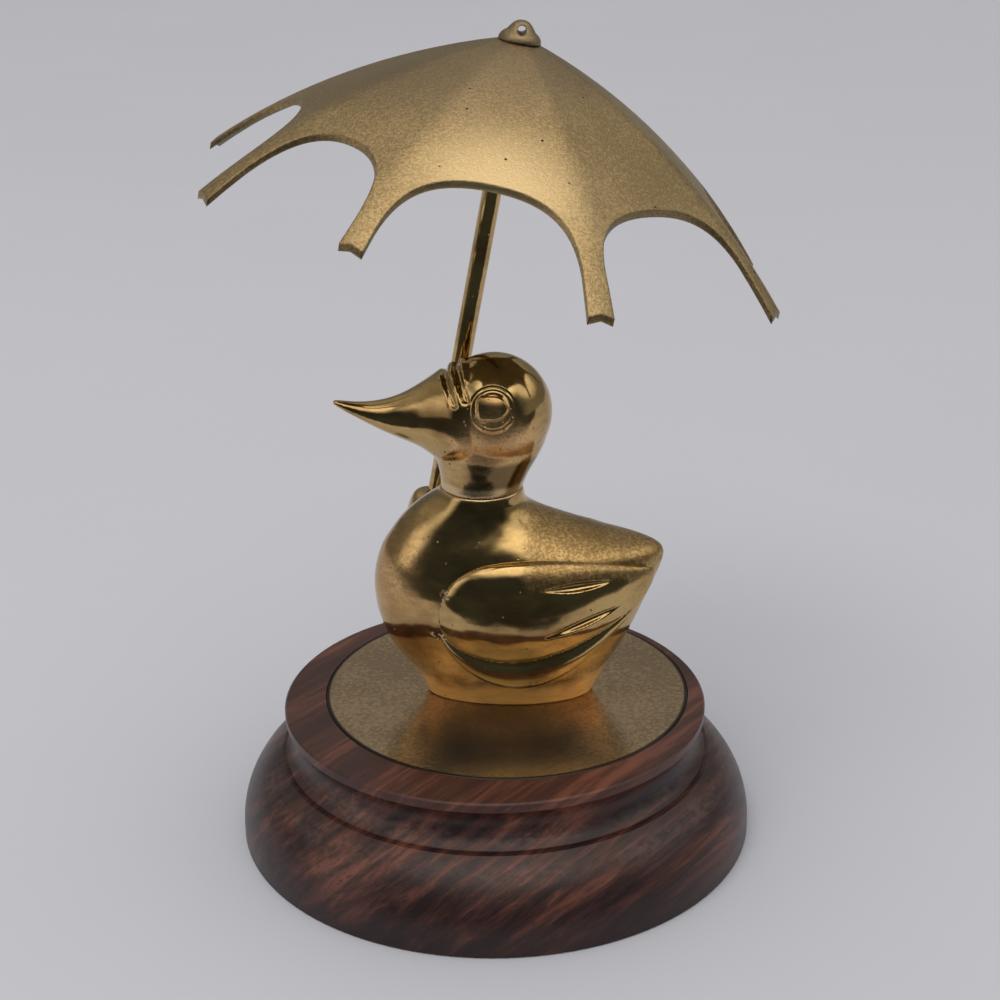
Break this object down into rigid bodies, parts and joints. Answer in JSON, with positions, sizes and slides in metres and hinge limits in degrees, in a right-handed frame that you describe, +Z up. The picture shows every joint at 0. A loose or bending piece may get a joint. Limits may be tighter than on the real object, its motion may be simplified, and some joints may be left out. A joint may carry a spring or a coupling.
{
  "type": "duck figurine with umbrella",
  "caption": "Polished brass duck with a round eye and folded wings, under a leaning scalloped brass umbrella, on a brass disc set in a turned dark hardwood base.",
  "frame": {"origin": "centre of the felt face that the base rests on", "axes": "+Z up, -X towards the duck's bill, -Y towards the duck's left side, which the picture shows"},
  "size_m": [0.1324, 0.1497, 0.1941],
  "materials": {
    "polished_brass": "polished",
    "cast_brass": "satin",
    "disc_brass": "satin",
    "dark_wood": "semi-gloss",
    "green_felt": "matte",
    "steel": "satin"
  },
  "bodies": {
    "root": {"wood_base": "dark_wood", "base_felt": "green_felt", "base_plate": "disc_brass", "mounting_washer": "steel", "mounting_screw": "steel", "duck_body": "polished_brass", "duck_head": "polished_brass", "left_wing": "polished_brass", "right_wing": "polished_brass", "umbrella_socket": "polished_brass", "umbrella_shaft": "polished_brass", "umbrella_canopy": "cast_brass", "umbrella_finial": "cast_brass"}
  },
  "joints": []
}
